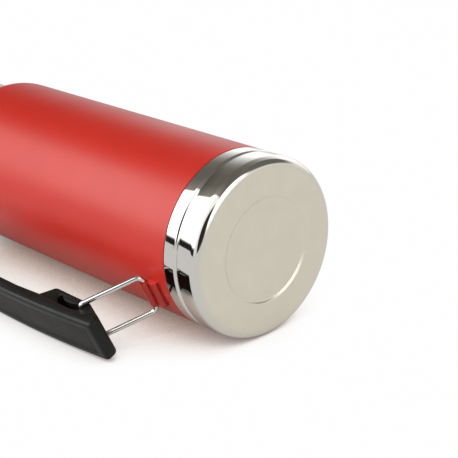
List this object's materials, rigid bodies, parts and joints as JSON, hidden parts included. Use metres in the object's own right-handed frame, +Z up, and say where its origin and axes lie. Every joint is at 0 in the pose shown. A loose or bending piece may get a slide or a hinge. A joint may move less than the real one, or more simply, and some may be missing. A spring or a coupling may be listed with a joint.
{
  "type": "vacuum flask",
  "caption": "Tall double-walled steel vacuum flask with a mirror base cup, screw cup lid, push-button pouring stopper and a black side handle that folds flat on wire links.",
  "frame": {"origin": "on the flask's axis, in the plane of the ring that it stands on", "axes": "+Z up along the flask's axis towards the mouth; +X out through the handle; +Y completes the right-handed frame"},
  "size_m": [0.1612, 0.11, 0.335],
  "materials": {
    "red_coat": "satin powder coat",
    "mirror_steel": "polished side wall, satin underside",
    "satin_steel": "satin",
    "bright_wire": "polished",
    "black_plastic": "fine moulded texture",
    "panel_plastic": "matt",
    "grey_plastic": "matt",
    "silicone": "matt translucent",
    "copper_foil": "bright foil",
    "solder": "dull"
  },
  "bodies": {
    "root": {"outer_shell": "red_coat", "base_cup": "mirror_steel", "shell_bottom": "satin_steel", "vacuum_seal": "solder", "getter": "solder", "liner_support": "satin_steel", "radiation_foil": "copper_foil", "inner_flask": "satin_steel", "neck_collar": "black_plastic", "lower_lug": "red_coat", "upper_lug": "red_coat"},
    "handle": {"handle_grip": "black_plastic", "handle_panel": "panel_plastic"},
    "lower_link": {"lower_link": "bright_wire"},
    "upper_link": {"upper_link": "bright_wire"},
    "stopper": {"stopper_body": "grey_plastic", "stopper_cap": "black_plastic", "plug_gasket": "silicone", "rim_gasket": "silicone", "button_retainer": "black_plastic", "button_spring": "satin_steel"},
    "valve": {"push_button": "grey_plastic", "valve_stem": "grey_plastic", "valve_disc": "grey_plastic", "valve_seal": "silicone"},
    "cup": {"cup_shell": "satin_steel", "cup_liner": "grey_plastic"}
  },
  "joints": [
    {"name": "handle_fold", "type": "slide", "parent": "root", "child": "handle", "axis": [-1, 0, 0], "range_m": [0, 0.031]},
    {"name": "lower_link_swing", "type": "hinge", "parent": "root", "child": "lower_link", "pos_m": [0.0576, 0, 0.0447], "axis": [0, -1, 0], "range_deg": [0, 56.5]},
    {"name": "upper_link_swing", "type": "hinge", "parent": "root", "child": "upper_link", "pos_m": [0.0576, 0, 0.2353], "axis": [0, 1, 0], "range_deg": [0, 56.5]},
    {"name": "stopper_lift", "type": "slide", "parent": "root", "child": "stopper", "axis": [0, 0, 1], "range_m": [0, 0.05]},
    {"name": "cup_lift", "type": "slide", "parent": "stopper", "child": "cup", "axis": [0, 0, 1], "range_m": [0, 0.08]},
    {"name": "button_press", "type": "slide", "parent": "stopper", "child": "valve", "axis": [0, 0, -1], "range_m": [0, 0.004], "stiffness_N_per_m": 300, "springref_m": -0.004, "deforming": ["button_spring"]}
  ],
  "couplings": [
    {"joint": "lower_link_swing", "follows": "handle_fold", "rad_per_m": 31.75},
    {"joint": "upper_link_swing", "follows": "handle_fold", "rad_per_m": 31.75}
  ]
}
